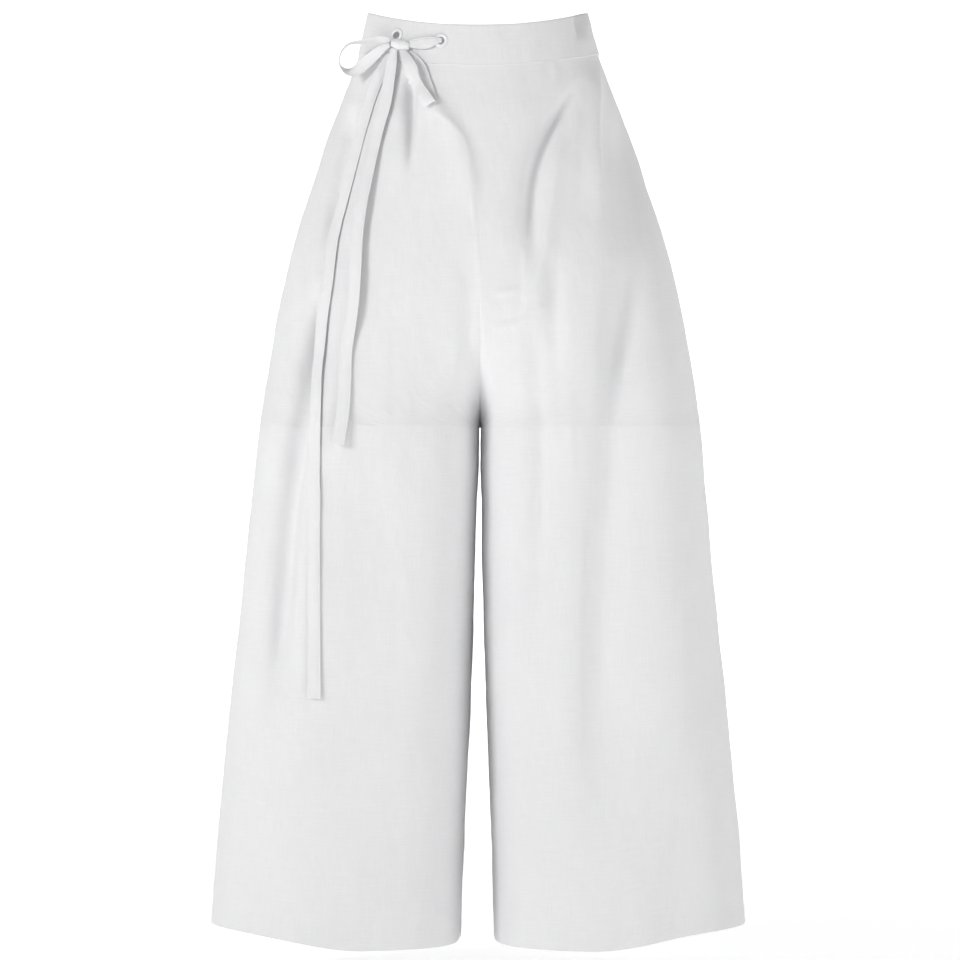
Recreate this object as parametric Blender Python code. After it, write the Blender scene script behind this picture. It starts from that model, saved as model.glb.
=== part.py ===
"""Wide-legged wrap pants, filled out as when worn, with a tape tied in a bow at the waist.

Metres, +Z up. The front faces -Y and the wearer's left is +X.
The origin is the centre of the waist opening, level with the top of the waistband at the sides.
"""

import math

import bmesh
import bpy
import numpy as np
from mathutils import Vector

# Driving dimensions
LENGTH = 1.003
BAND_HEIGHT = 0.045
CLOTH = 0.0016
BAND_CLOTH = 0.0024
BAND_PROUD = 0.0004
SEAM_GAP = 0.0003
CROTCH = 0.450
LEGS_PART_FROM = 0.200
CLOSE_ROWS_FROM = 0.345
FRONT_DIP = 0.024
DIP_FADE = 0.30
HEM_LIFT = 0.020
HEM_LIFT_FROM = 0.55
HEM_LIFT_INNER = -0.25
HEM_LIFT_OUTER = 0.85
TIE_WIDTH = 0.0135
TIE_CLOTH = 0.0012
EYELET_RADIUS = 0.0080
EYELET_HOLE = 0.0040
EYELET_BARREL = 0.0006
EYELET_METAL = 0.0008
EYELET_FLANGE = 0.0022
EYELET_ROLL = 0.0015
EYELET_CHAMFER = 0.0003
HOLE_CUT_DEPTH = 0.020

# Level sections below the top of the waistband. half_width and shift give the outline from the front,
# front and back the depth from the side seam, square how full the section is (2 is an ellipse),
# and the gaps how far each leg stands from the middle.
SECTION_COLUMNS = ("drop", "half_width", "front", "back", "square", "shift", "right_gap", "left_gap")
SECTIONS = (
    (0.000, 0.1185, 0.094, 0.098, 2.00, -0.0026, 0.00015, 0.00015),
    (0.050, 0.1315, 0.102, 0.107, 2.05, -0.0012, 0.00015, 0.00015),
    (0.100, 0.1500, 0.111, 0.120, 2.10, -0.0010, 0.00015, 0.00015),
    (0.150, 0.1695, 0.118, 0.133, 2.15, -0.0012, 0.00015, 0.00015),
    (0.200, 0.1870, 0.124, 0.143, 2.25, -0.0008, 0.00015, 0.00015),
    (0.250, 0.2020, 0.129, 0.149, 2.35, -0.0004, 0.00015, 0.00015),
    (0.300, 0.2140, 0.132, 0.153, 2.45, 0.0000, 0.00015, 0.00015),
    (0.370, 0.2270, 0.134, 0.153, 2.60, 0.0004, 0.00015, 0.00015),
    (0.450, 0.2380, 0.135, 0.151, 2.75, 0.0000, 0.00015, 0.00015),
    (0.520, 0.2450, 0.135, 0.148, 2.80, -0.0006, 0.0016, 0.0011),
    (0.600, 0.2525, 0.135, 0.145, 2.80, -0.0012, 0.0038, 0.0024),
    (0.700, 0.2625, 0.134, 0.142, 2.75, -0.0016, 0.0066, 0.0062),
    (0.800, 0.2720, 0.133, 0.140, 2.70, -0.0018, 0.0108, 0.0106),
    (0.900, 0.2810, 0.132, 0.139, 2.65, -0.0018, 0.0155, 0.0140),
    (1.003, 0.2895, 0.131, 0.138, 2.60, -0.0018, 0.0196, 0.0176),
)

# Folds in the cloth. The path runs through three points, across being X on the front and back
# and Y on the sides. depth is outward for a ridge and inward, below zero, for a valley.
FOLD_COLUMNS = (
    "face", "across_top", "drop_top", "across_mid", "drop_mid", "across_low", "drop_low",
    "right_width", "left_width", "fade_top", "fade_low", "depth",
)
FOLDS = (
    # Wearer's right front: the valley beside the bow, the deep fold down the side and its ridge,
    # the pleat under the bow, the drag line to the middle and the valley below it
    ("front", -0.134, 0.095, -0.151, 0.170, -0.166, 0.270, 0.010, 0.012, 0.04, 0.06, -0.006),
    ("front", -0.168, 0.290, -0.203, 0.500, -0.224, 0.790, 0.016, 0.024, 0.10, 0.16, -0.015),
    ("front", -0.172, 0.340, -0.183, 0.500, -0.200, 0.760, 0.018, 0.024, 0.10, 0.16, 0.005),
    ("front", -0.075, 0.052, -0.075, 0.110, -0.075, 0.190, 0.007, 0.007, 0.03, 0.08, -0.011),
    ("front", -0.056, 0.075, -0.023, 0.135, -0.006, 0.240, 0.018, 0.010, 0.03, 0.07, 0.006),
    ("front", -0.011, 0.240, -0.010, 0.350, -0.008, 0.480, 0.014, 0.010, 0.06, 0.08, -0.004),
    ("front", -0.110, 0.420, -0.100, 0.640, -0.098, 1.100, 0.050, 0.050, 0.16, 0.10, -0.005),
    # Wearer's left front: the curved fold from the waist with its ridge, the short valley, the edge at
    # the hip, and the long valleys down the leg
    ("front", 0.106, 0.065, 0.067, 0.145, 0.054, 0.300, 0.016, 0.010, 0.05, 0.09, -0.010),
    ("front", 0.090, 0.120, 0.069, 0.240, 0.046, 0.350, 0.010, 0.014, 0.05, 0.06, 0.005),
    ("front", 0.080, 0.260, 0.079, 0.335, 0.080, 0.440, 0.012, 0.009, 0.05, 0.07, -0.006),
    ("front", 0.125, 0.040, 0.125, 0.130, 0.127, 0.240, 0.016, 0.006, 0.05, 0.08, 0.006),
    ("front", 0.145, 0.080, 0.164, 0.240, 0.146, 0.460, 0.022, 0.016, 0.08, 0.16, -0.009),
    ("front", 0.162, 0.260, 0.140, 0.460, 0.122, 0.940, 0.026, 0.030, 0.12, 0.28, -0.014),
    ("front", 0.059, 0.320, 0.060, 0.460, 0.056, 0.730, 0.022, 0.020, 0.08, 0.22, -0.008),
    ("front", 0.208, 0.760, 0.212, 0.900, 0.218, 1.100, 0.034, 0.030, 0.14, 0.05, -0.006),
    # Back: soft folds that fall from the waist over the seat and down the legs
    ("back", -0.060, 0.045, -0.085, 0.200, -0.098, 0.420, 0.020, 0.020, 0.03, 0.18, -0.007),
    ("back", -0.118, 0.055, -0.150, 0.300, -0.160, 0.760, 0.022, 0.026, 0.06, 0.26, -0.010),
    ("back", 0.070, 0.045, 0.092, 0.210, 0.105, 0.460, 0.020, 0.022, 0.03, 0.18, -0.007),
    ("back", 0.126, 0.060, 0.162, 0.330, 0.170, 0.840, 0.024, 0.026, 0.06, 0.28, -0.011),
    ("back", -0.060, 0.470, -0.075, 0.700, -0.088, 1.100, 0.026, 0.026, 0.16, 0.10, -0.008),
    ("back", 0.058, 0.440, 0.080, 0.640, 0.100, 1.100, 0.028, 0.026, 0.16, 0.10, -0.008),
    ("back", -0.215, 0.600, -0.220, 0.800, -0.225, 1.100, 0.028, 0.030, 0.20, 0.08, -0.007),
    # Sides: across is Y here
    ("right side", -0.012, 0.120, -0.004, 0.320, 0.008, 0.700, 0.030, 0.030, 0.10, 0.30, -0.004),
    ("left side", 0.010, 0.140, 0.004, 0.360, -0.010, 0.800, 0.030, 0.032, 0.10, 0.30, -0.004),
)

# Folds on the front and back fade out near the side seam, at this share of a full turn to the side,
# and between these angles on the inside of a leg
SIDE_FADE = 0.30
INSIDE_FADE_FROM = math.radians(-35)
INSIDE_FADE_TO = math.radians(-80)

# The waistband's top corner folds in at the wearer's left
CORNER_FOLD = {
    "x": 0.106,
    "right_width": 0.004,
    "left_width": 0.011,
    "depth": -0.009,
    "reach": 0.032,
    "seam_fade": 0.12,
}

# Eyelets, and the tie's runs over the front. lift is from the cloth to the middle of the tape, twist
# in degrees, and share the part of the full width that shows where the tape is gathered.
EYELETS = {"eyelet_inner": (-0.0414, 0.0192), "eyelet_outer": (-0.0886, 0.0182)}
KNOT = {
    "right": -0.0948,
    "left": -0.0754,
    "drop": 0.0287,
    "lift": 0.0046,
    "half_height": 0.0056,
    "half_depth": 0.0035,
}
KNOT_SHARES = (0.62, 0.90, 1.0, 0.94, 1.0, 0.90, 0.62)
TAPE_COLUMNS = ("x", "drop", "lift", "twist", "share")
TIE_LEAD = (
    (-0.0407, 0.0188, -0.0004, 0, 0.36),
    (-0.0416, 0.0190, 0.0016, 0, 0.38),
    (-0.0462, 0.0202, 0.0031, 0, 0.60),
    (-0.0530, 0.0224, 0.0042, 0, 0.92),
    (-0.0610, 0.0243, 0.0042, 0, 0.96),
    (-0.0690, 0.0258, 0.0046, 0, 0.80),
    (-0.0748, 0.0266, 0.0052, 0, 0.62),
)
TIE_TAIL_SHORT = (
    (-0.0915, 0.0346, 0.0055, 0, 0.55),
    (-0.0938, 0.0500, 0.0062, 0, 0.85),
    (-0.0975, 0.0737, 0.0056, 0, 1.0),
    (-0.1010, 0.0966, 0.0052, 0, 1.0),
    (-0.1060, 0.1151, 0.0050, 0, 1.0),
    (-0.1120, 0.1407, 0.0050, 0, 1.0),
    (-0.1187, 0.1756, 0.0068, 0, 1.0),
    (-0.1259, 0.2160, 0.0090, 0, 1.0),
    (-0.1299, 0.2523, 0.0090, 0, 1.0),
    (-0.1312, 0.2900, 0.0080, 14, 1.0),
    (-0.1336, 0.3260, 0.0068, 26, 1.0),
    (-0.1377, 0.3514, 0.0052, 10, 1.0),
    (-0.1408, 0.3736, 0.0036, 0, 1.0),
    (-0.1418, 0.4020, 0.0030, 0, 1.0),
    (-0.1438, 0.4356, 0.0044, 0, 1.0),
    (-0.1490, 0.4692, 0.0080, 0, 1.0),
)
TIE_TAIL_LONG = (
    (-0.0968, 0.0400, 0.0014, 0, 0.45),
    (-0.1010, 0.0500, 0.0034, -20, 0.72),
    (-0.1066, 0.0640, 0.0049, -30, 1.0),
    (-0.1132, 0.0809, 0.0046, -26, 1.0),
    (-0.1190, 0.0980, 0.0038, -18, 1.0),
    (-0.1275, 0.1299, 0.0027, -8, 1.0),
    (-0.1362, 0.1665, 0.0022, 0, 1.0),
    (-0.1455, 0.2065, 0.0024, 0, 1.0),
    (-0.1559, 0.2504, 0.0024, 0, 1.0),
    (-0.1612, 0.2944, 0.0022, 0, 1.0),
    (-0.1668, 0.3339, 0.0024, 0, 1.0),
    (-0.1696, 0.3679, 0.0024, 0, 1.0),
    (-0.1720, 0.4018, 0.0022, 0, 1.0),
    (-0.1744, 0.4860, 0.0018, 0, 1.0),
    (-0.1742, 0.5280, 0.0026, 0, 1.0),
    (-0.1746, 0.5700, 0.0018, 0, 1.0),
    (-0.1743, 0.6754, 0.0018, 0, 1.0),
    (-0.1738, 0.7397, 0.0032, 0, 1.0),
)
TIE_LOOP_FRONT = (
    (-0.0826, 0.0350, 0.0070, 0, 0.55),
    (-0.0785, 0.0440, 0.0108, 0, 0.85),
    (-0.0733, 0.0540, 0.0128, 0, 1.0),
    (-0.0690, 0.0668, 0.0128, 0, 1.0),
    (-0.0625, 0.0817, 0.0112, 0, 1.0),
    (-0.0560, 0.0930, 0.0090, 0, 1.0),
    (-0.0528, 0.0962, 0.0064, 0, 1.0),
    (-0.0520, 0.0920, 0.0040, 0, 1.0),
    (-0.0542, 0.0800, 0.0032, 0, 1.0),
    (-0.0588, 0.0655, 0.0032, 0, 1.0),
    (-0.0645, 0.0500, 0.0034, 0, 1.0),
    (-0.0712, 0.0405, 0.0036, 0, 0.80),
    (-0.0768, 0.0352, 0.0032, 0, 0.50),
)
LOOP_FRONT_ACROSS = (0.91, -0.42)
LEAD_ACROSS = (0.0, 1.0)

# The side loop stands free of the cloth. tilt is 0 where the tape is seen edge-on from the front.
LOOP_COLUMNS = ("x", "y", "z", "tilt", "share")
TIE_LOOP_SIDE = (
    (-0.0964, -0.0726, -0.0378, 60, 0.40),
    (-0.1080, -0.0730, -0.0374, 34, 0.86),
    (-0.1260, -0.0700, -0.0394, 12, 1.0),
    (-0.1390, -0.0650, -0.0410, 4, 1.0),
    (-0.1466, -0.0615, -0.0470, 0, 1.0),
    (-0.1504, -0.0595, -0.0556, 0, 1.0),
    (-0.1494, -0.0590, -0.0642, 8, 1.0),
    (-0.1434, -0.0590, -0.0696, 30, 1.0),
    (-0.1356, -0.0600, -0.0700, 55, 1.0),
    (-0.1270, -0.0625, -0.0652, 72, 1.0),
    (-0.1160, -0.0668, -0.0560, 80, 0.92),
    (-0.1045, -0.0708, -0.0472, 80, 0.66),
    (-0.0965, -0.0732, -0.0430, 80, 0.36),
)

# Grid steps
FRONT_COLUMNS = 30
BACK_COLUMNS = 20
RISE_ROWS = 9
CLOSE_ROWS = 6
LEG_ROWS = 11
BAND_ROWS = 3
BAND_COLUMNS = 26
EYELET_STEPS = 20
KNOT_STEPS = 10
LEAD_RINGS = 12
TAIL_SHORT_RINGS = 36
TAIL_LONG_RINGS = 48
LOOP_RINGS = 30

# Materials, as base colour, roughness and how metallic
CLOTH_LOOK = ((0.86, 0.86, 0.87), 0.85, 0.0)
TAPE_LOOK = ((0.88, 0.88, 0.89), 0.80, 0.0)
EYELET_LOOK = ((0.90, 0.90, 0.90), 0.35, 0.2)
SHARP_ANGLE = math.radians(45)

RIGHT, LEFT = -1, 1
FRONT, BACK = -1, 1
STEP = 1e-4


def column(table, names, name):
    """One named column of a table."""
    place = names.index(name)
    return np.array([row[place] for row in table])


def smooth(at, known, values):
    """A cubic curve through a table's values, level past its ends."""
    at = np.clip(at, known[0], known[-1])
    slope = np.gradient(values, known)
    i = np.clip(np.searchsorted(known, at) - 1, 0, len(known) - 2)
    wide = known[i + 1] - known[i]
    t = (at - known[i]) / wide
    low = values[i] * (1 + 2 * t) * (1 - t) ** 2 + slope[i] * wide * t * (1 - t) ** 2
    high = values[i + 1] * t * t * (3 - 2 * t) + slope[i + 1] * wide * t * t * (t - 1)
    return low + high


def ease(value, low, high):
    """0 below low, 1 above high, and smooth between."""
    t = np.clip((value - low) / (high - low), 0, 1)
    return t * t * (3 - 2 * t)


def section(name, drop):
    """A section's size at each drop below the top of the waistband."""
    return smooth(drop, column(SECTIONS, SECTION_COLUMNS, "drop"), column(SECTIONS, SECTION_COLUMNS, name))


def leg_ring(leg, drop):
    """One leg's level section: the centre and half width of its ring, how full it is, and its turn.

    The two rings share one centre at the waist and part by the crotch. turn is the angle at which
    the middle of the garment cuts a ring: 0 at the waist and a right angle from the crotch down.
    """
    inner = section("right_gap" if leg == RIGHT else "left_gap", drop)
    outer = section("half_width", drop)
    square = section("square", drop)
    radius = (outer - inner) * (1 - 0.5 * ease(drop, LEGS_PART_FROM, CROTCH))
    centre = outer - radius
    cut = np.clip((centre - inner) / radius, 0, 1)
    return centre, radius, square, ring_angle(cut, square)


def ring_angle(across, square):
    """The angle round a ring at a share of its half width."""
    return np.arctan2(across, (1 - np.abs(across) ** square) ** (1 / square))


def plain_point(leg, face, along, drop):
    """The smooth form. along runs from 0 at the middle or inseam to 1 at the side seam."""
    centre, radius, square, turn = leg_ring(leg, drop)
    angle = (math.pi / 2 + turn) * along - turn
    sin, cos = np.sin(angle), np.clip(np.cos(angle), 0, 1)
    full = (np.abs(sin) ** square + cos**square) ** (-1 / square)
    depth = section("front" if face == FRONT else "back", drop) * cos * full
    dip = FRONT_DIP * (face == FRONT) * cos**1.5 * (1 - ease(drop, 0, DIP_FADE))
    rise = ease(sin, HEM_LIFT_INNER, HEM_LIFT_OUTER)
    lift = HEM_LIFT * rise * ease(drop, HEM_LIFT_FROM, LENGTH)
    x = section("shift", drop) + leg * (centre + radius * sin * full)
    return np.stack([x, face * depth, lift - drop - dip], axis=-1), angle


def surface_normal(point_at, leg, face, along, drop):
    """The outward normal by small steps, which stay on the panel."""
    low, high = np.clip(along - STEP, 0, 1), np.clip(along + STEP, 0, 1)
    across = point_at(leg, face, high, drop) - point_at(leg, face, low, drop)
    down = point_at(leg, face, along, drop + STEP) - point_at(leg, face, along, drop - STEP)
    normal = np.cross(across, down) * leg * face
    return normal / np.maximum(np.linalg.norm(normal, axis=-1, keepdims=True), 1e-12)


def plain(leg, face, along, drop):
    return plain_point(leg, face, along, drop)[0]


def fold_height(leg, face, point, drop, angle):
    """How far the folds move each point outward."""
    total = np.zeros(np.shape(drop))
    near_side = ease(np.cos(angle), 0, SIDE_FADE)
    inner_side = ease(angle, INSIDE_FADE_TO, INSIDE_FADE_FROM)
    for row in FOLDS:
        fold = dict(zip(FOLD_COLUMNS, row))
        on_side = fold["face"] == ("right side" if leg == RIGHT else "left side")
        if not on_side and fold["face"] != ("front" if face == FRONT else "back"):
            continue
        drops = np.array([fold["drop_top"], fold["drop_mid"], fold["drop_low"]])
        path = np.array([fold["across_top"], fold["across_mid"], fold["across_low"]])
        middle = smooth(drop, drops, path)
        away = point[..., 1 if on_side else 0] - middle
        width = np.where(away < 0, fold["right_width"], fold["left_width"])
        along = ease(drop, drops[0], drops[0] + fold["fade_top"])
        along = along * (1 - ease(drop, drops[2] - fold["fade_low"], drops[2]))
        reach = 1 - near_side if on_side else near_side * inner_side
        total = total + fold["depth"] * along * reach * np.exp(-((away / width) ** 2))
    return total


def cloth(leg, face, along, drop):
    """The folded form."""
    point, angle = plain_point(leg, face, along, drop)
    outward = surface_normal(plain, leg, face, along, drop)
    outward[..., 0] = np.where((along <= 0) & (drop <= CROTCH), 0, outward[..., 0])
    return point + outward * fold_height(leg, face, point, drop, angle)[..., None]


def along_at(leg, x, drop):
    """Where on a panel the point at x lies."""
    centre, radius, square, turn = leg_ring(leg, drop)
    across = np.clip(((x - section("shift", drop)) * leg - centre) / radius, -1, 1)
    return (ring_angle(across, square) + turn) / (math.pi / 2 + turn)


def front_place(x, drop):
    """Points of the wearer's right front at x, and their outward normals."""
    along = along_at(RIGHT, x, drop)
    return cloth(RIGHT, FRONT, along, drop), surface_normal(cloth, RIGHT, FRONT, along, drop)


def front_lifted(x, drop, lift):
    """Points at a height over the front that are seen at x from the front."""
    at = x
    for _ in range(4):
        point, outward = front_place(at, drop)
        raised = point + outward * lift[:, None]
        at = at + x - raised[:, 0]
    return raised


def front_behind(points):
    """The points of the front straight behind points in space, and their outward normals."""
    drop = -points[:, 2]
    for _ in range(6):
        found, outward = front_place(points[:, 0], drop)
        drop = drop + found[:, 2] - points[:, 2]
    return found, outward


def add_object(name, bm, material):
    bmesh.ops.recalc_face_normals(bm, faces=bm.faces[:])
    mesh = bpy.data.meshes.new(name)
    bm.to_mesh(mesh)
    bm.free()
    mesh.materials.append(material)
    mesh.shade_smooth()
    mesh.set_sharp_from_angle(angle=SHARP_ANGLE)
    piece = bpy.data.objects.new(name, mesh)
    bpy.context.collection.objects.link(piece)
    return piece


def wall(name, outer, inner, material):
    """A closed sheet between two grids of points."""
    bm = bmesh.new()
    rows, columns = outer.shape[:2]
    skins = [[[bm.verts.new(p) for p in row] for row in grid] for grid in (outer, inner)]
    for skin in skins:
        for i in range(rows - 1):
            for j in range(columns - 1):
                bm.faces.new((skin[i][j], skin[i][j + 1], skin[i + 1][j + 1], skin[i + 1][j]))
    for i in range(rows - 1):
        for j in (0, columns - 1):
            bm.faces.new((skins[0][i][j], skins[0][i + 1][j], skins[1][i + 1][j], skins[1][i][j]))
    for j in range(columns - 1):
        for i in (0, rows - 1):
            bm.faces.new((skins[0][i][j], skins[0][i][j + 1], skins[1][i][j + 1], skins[1][i][j]))
    return add_object(name, bm, material)


def loft(name, rings, material, closed=False):
    """A tube through rings of points, with filled ends or closed on itself."""
    bm = bmesh.new()
    made = [[bm.verts.new(p) for p in ring] for ring in rings]
    count = len(made[0])
    for i in range(len(made) if closed else len(made) - 1):
        here, after = made[i], made[(i + 1) % len(made)]
        for j in range(count):
            k = (j + 1) % count
            bm.faces.new((here[j], here[k], after[k], after[j]))
    if not closed:
        bm.faces.new(made[0])
        bm.faces.new(made[-1])
    return add_object(name, bm, material)


def panel_drops():
    """The levels of a leg panel's rows, closer together round the crotch."""
    top = BAND_HEIGHT + SEAM_GAP / 2
    rise = np.linspace(top, CLOSE_ROWS_FROM, RISE_ROWS + 1)[:-1]
    round_to_crotch = np.sin(np.linspace(0, math.pi / 2, CLOSE_ROWS + 1))
    close = CLOSE_ROWS_FROM + (CROTCH - CLOSE_ROWS_FROM) * round_to_crotch
    leg = np.linspace(CROTCH, LENGTH, LEG_ROWS + 1)[1:]
    return np.concatenate([rise, close, leg])


def leg_panel(name, leg, face, columns, material):
    """One front or back of a leg, from the waistband to the hem."""
    drops = panel_drops()
    drop, along = np.meshgrid(drops, np.linspace(0, 1, columns + 1), indexing="ij")
    outer = cloth(leg, face, along, drop)
    normal = surface_normal(cloth, leg, face, along, drop)
    crotch_row = RISE_ROWS + CLOSE_ROWS
    seam = np.gradient(outer[: crotch_row + 1, 0], axis=0)
    normal[: crotch_row + 1, 0] = np.stack([0 * seam[:, 0], -seam[:, 2], seam[:, 1]], axis=-1) * face
    normal[crotch_row, 0] = (0, 0, -1)
    normal /= np.linalg.norm(normal, axis=-1, keepdims=True)
    inner = outer - CLOTH * normal
    outer[:, -1, 1] += face * SEAM_GAP / 2
    inner[:, -1, 1] += face * SEAM_GAP / 2
    outer[crotch_row:, 0, 1] += face * SEAM_GAP / 2
    inner[crotch_row:, 0, 1] += face * SEAM_GAP / 2
    return wall(name, outer, inner, material)


def band_place(leg, face, along, drop):
    """The waistband's outer face, a little proud of the legs, with its folded corner."""
    point = cloth(leg, face, along, drop)
    outward = surface_normal(cloth, leg, face, along, drop)
    outward[..., 0] = np.where(along <= 0, 0, outward[..., 0])
    away = point[..., 0] - CORNER_FOLD["x"]
    width = np.where(away < 0, CORNER_FOLD["right_width"], CORNER_FOLD["left_width"])
    reach = (1 - ease(drop, 0, CORNER_FOLD["reach"])) * ease(1 - along, 0, CORNER_FOLD["seam_fade"])
    corner = CORNER_FOLD["depth"] * reach * np.exp(-((away / width) ** 2)) * (leg == LEFT) * (face == FRONT)
    return point + outward * (BAND_PROUD + corner)[..., None], outward


def waistband(name, face, material):
    """Half of the waistband, from one side seam to the other."""
    drops = np.linspace(0, BAND_HEIGHT - SEAM_GAP / 2, BAND_ROWS + 1)
    drop, along = np.meshgrid(drops, np.linspace(0, 1, BAND_COLUMNS + 1), indexing="ij")
    halves = []
    for leg in (RIGHT, LEFT):
        outer, outward = band_place(leg, face, along, drop)
        inner = outer - BAND_CLOTH * outward
        outer[:, -1, 1] += face * SEAM_GAP / 2
        inner[:, -1, 1] += face * SEAM_GAP / 2
        halves.append((outer, inner))
    outer, inner = (np.concatenate([r[:, :0:-1], l], axis=1) for r, l in zip(*halves))
    return wall(name, outer, inner, material)


def tape_path(table, names, count):
    """A tape's columns at evenly spaced points of its run."""
    steps = np.arange(len(table))
    at = np.linspace(0, len(table) - 1, count)
    return {name: smooth(at, steps, column(table, names, name)) for name in names}


def unit(vectors):
    return vectors / np.linalg.norm(vectors, axis=-1, keepdims=True)


def tape_rings(edges):
    """Rings of a flat tape from its two edges and middle, of shape (3, points, 3)."""
    along = unit(np.gradient(edges[1], axis=0))
    up = unit(np.cross(edges[2] - edges[0], along)) * TIE_CLOTH / 2
    top, under = edges + up, edges - up
    return np.stack([top[0], top[1], top[2], under[2], under[1], under[0]], axis=1)


def laid_tape(name, table, count, material, across=None):
    """A flat tape on the front. across is its width's direction in x and drop, or square to its run."""
    run = tape_path(table, TAPE_COLUMNS, count)
    if across is None:
        ahead = unit(np.stack([np.gradient(run["x"]), np.gradient(run["drop"])], axis=-1))
        sideways = np.stack([ahead[:, 1], -ahead[:, 0]], axis=-1)
    else:
        sideways = np.broadcast_to(across, (count, 2))
    half = TIE_WIDTH / 2 * run["share"]
    twist = np.radians(run["twist"])
    slant = (1 + np.abs(front_place(run["x"], run["drop"])[1][:, 1])) / 2
    edges = []
    for side in (-1, 0, 1):
        flat = side * half * np.cos(twist)
        x, drop = run["x"] + flat * slant * sideways[:, 0], run["drop"] + flat * sideways[:, 1]
        edges.append(front_lifted(x, drop, run["lift"] + side * half * np.sin(twist)))
    return loft(name, tape_rings(np.array(edges)), material)


def side_loop(name, count, material):
    """The loop of the bow that stands out past the wearer's right side."""
    run = tape_path(TIE_LOOP_SIDE, LOOP_COLUMNS, count)
    middle = np.stack([run["x"], run["y"], run["z"]], axis=-1)
    ahead = unit(np.gradient(middle, axis=0))
    deep = unit(np.array([0, 1, 0]) - ahead * ahead[:, 1:2])
    tilt = np.radians(run["tilt"])[:, None]
    across = deep * np.cos(tilt) + np.cross(ahead, deep) * np.sin(tilt)
    half = across * (TIE_WIDTH / 2 * run["share"])[:, None]
    return loft(name, tape_rings(np.array([middle - half, middle, middle + half])), material)


def knot(name, material):
    """The wrapped knot, a short rounded body across the band."""
    rings = []
    for x, share in zip(np.linspace(KNOT["right"], KNOT["left"], len(KNOT_SHARES)), KNOT_SHARES):
        angle = np.arange(KNOT_STEPS) * 2 * math.pi / KNOT_STEPS
        drop = KNOT["drop"] + KNOT["half_height"] * share * np.cos(angle)
        lift = KNOT["lift"] + KNOT["half_depth"] * share * np.sin(angle)
        rings.append(front_lifted(np.full(KNOT_STEPS, x), drop, lift))
    return loft(name, rings, material)


def eyelet(name, material):
    """A two-sided metal eyelet, rolled over the band's outer and inner faces."""
    x, drop = EYELETS[name]
    (centre,), (axis,) = front_place(np.array([x]), np.array([drop]))
    level = unit(np.cross(axis, (0, 0, 1)))
    upright = np.cross(level, axis)
    barrel = EYELET_HOLE + EYELET_BARREL
    face = BAND_PROUD + SEAM_GAP
    behind = BAND_PROUD - BAND_CLOTH - SEAM_GAP
    profile = (
        (EYELET_HOLE, behind - EYELET_BARREL),
        (barrel + EYELET_FLANGE, behind - EYELET_BARREL),
        (barrel + EYELET_FLANGE, behind),
        (barrel, behind),
        (barrel, face),
        (EYELET_RADIUS, face),
        (EYELET_RADIUS - EYELET_CHAMFER, face + EYELET_METAL * 0.6),
        (EYELET_RADIUS - EYELET_ROLL, face + EYELET_METAL),
        (barrel + EYELET_CHAMFER, face + EYELET_METAL),
        (EYELET_HOLE, face + EYELET_METAL * 0.3),
    )
    radius, lift = np.array(profile).T[:, :, None]
    rings = []
    for angle in np.arange(EYELET_STEPS) * 2 * math.pi / EYELET_STEPS:
        spoke = level * math.cos(angle) + upright * math.sin(angle)
        point, outward = front_behind(centre + radius * spoke)
        rings.append(point + outward * lift)
    return loft(name, rings, material, closed=True)


def punch_holes(band):
    """Cut the two eyelet holes through the waistband."""
    for name, (x, drop) in EYELETS.items():
        point, outward = front_place(np.array([x]), np.array([drop]))
        direction = Vector(outward[0])
        radius = EYELET_HOLE + EYELET_BARREL + SEAM_GAP
        bm = bmesh.new()
        bmesh.ops.create_cone(
            bm, cap_ends=True, segments=EYELET_STEPS, depth=HOLE_CUT_DEPTH, radius1=radius, radius2=radius,
        )
        mesh = bpy.data.meshes.new(name + "_hole")
        bm.to_mesh(mesh)
        bm.free()
        cutter = bpy.data.objects.new(name + "_hole", mesh)
        cutter.location = Vector(point[0])
        cutter.rotation_euler = direction.to_track_quat("Z", "Y").to_euler()
        cutter.hide_render = True
        cutter.display_type = "WIRE"
        bpy.context.collection.objects.link(cutter)
        cut = band.modifiers.new(name + "_hole", "BOOLEAN")
        cut.object = cutter
        cut.operation = "DIFFERENCE"
        cut.solver = "EXACT"


def clear_scene():
    for item in list(bpy.data.objects):
        bpy.data.objects.remove(item, do_unlink=True)


def make_material(name, look):
    colour, roughness, metallic = look
    material = bpy.data.materials.new(name)
    material.use_nodes = True
    shader = material.node_tree.nodes["Principled BSDF"]
    shader.inputs["Base Color"].default_value = (*colour, 1)
    shader.inputs["Roughness"].default_value = roughness
    shader.inputs["Metallic"].default_value = metallic
    return material


def main():
    clear_scene()
    for name, leg, face, columns in (
        ("front_right", RIGHT, FRONT, FRONT_COLUMNS),
        ("front_left", LEFT, FRONT, FRONT_COLUMNS),
        ("back_right", RIGHT, BACK, BACK_COLUMNS),
        ("back_left", LEFT, BACK, BACK_COLUMNS),
    ):
        leg_panel(name, leg, face, columns, make_material(name, CLOTH_LOOK))
    punch_holes(waistband("waistband_front", FRONT, make_material("waistband_front", CLOTH_LOOK)))
    waistband("waistband_back", BACK, make_material("waistband_back", CLOTH_LOOK))
    for name in EYELETS:
        eyelet(name, make_material(name, EYELET_LOOK))
    for name, table, rings, across in (
        ("tie_lead", TIE_LEAD, LEAD_RINGS, LEAD_ACROSS),
        ("tie_tail_short", TIE_TAIL_SHORT, TAIL_SHORT_RINGS, None),
        ("tie_tail_long", TIE_TAIL_LONG, TAIL_LONG_RINGS, None),
        ("tie_loop_front", TIE_LOOP_FRONT, LOOP_RINGS, LOOP_FRONT_ACROSS),
    ):
        laid_tape(name, table, rings, make_material(name, TAPE_LOOK), across)
    side_loop("tie_loop_side", LOOP_RINGS, make_material("tie_loop_side", TAPE_LOOK))
    knot("tie_knot", make_material("tie_knot", TAPE_LOOK))


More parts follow.
